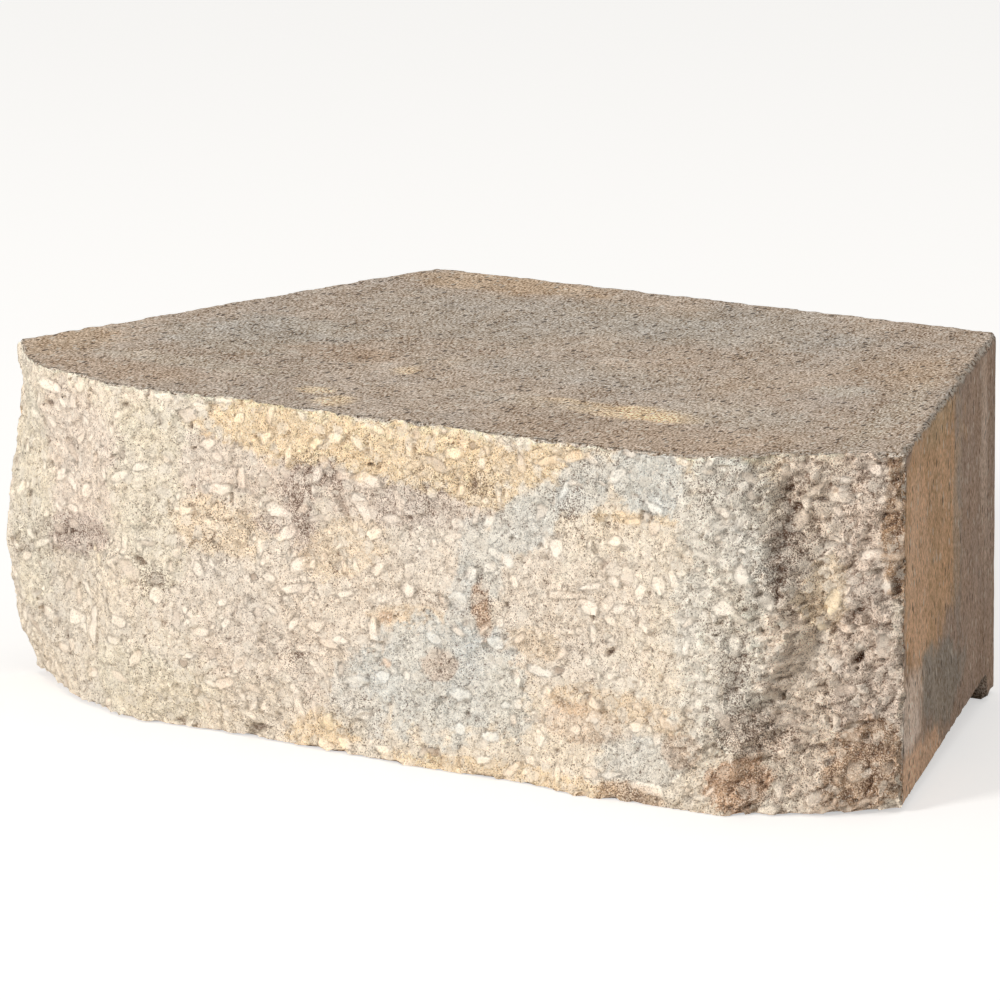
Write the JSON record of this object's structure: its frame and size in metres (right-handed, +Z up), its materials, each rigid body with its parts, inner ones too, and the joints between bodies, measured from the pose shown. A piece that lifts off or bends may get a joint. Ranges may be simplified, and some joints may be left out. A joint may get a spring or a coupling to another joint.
{
  "type": "retaining wall block",
  "caption": "Tapered concrete retaining wall block with a split three-plane face and a rear lip that locks over the course below.",
  "frame": {"origin": "middle of the bottom bearing plane, half way between the middle of the broken front and the back face", "axes": "+Z up out of the top face, -Y out of the broken front, +X to the right of someone who looks at the front. The bearing plane is Z = 0 and the lip reaches below it."},
  "size_m": [0.3055, 0.1891, 0.1111],
  "materials": {
    "split_concrete": "dry-cast blended concrete in tan, buff and grey; broken on the front, moulded and matt elsewhere"
  },
  "bodies": {
    "root": {"wall_block": "split_concrete"}
  },
  "joints": []
}
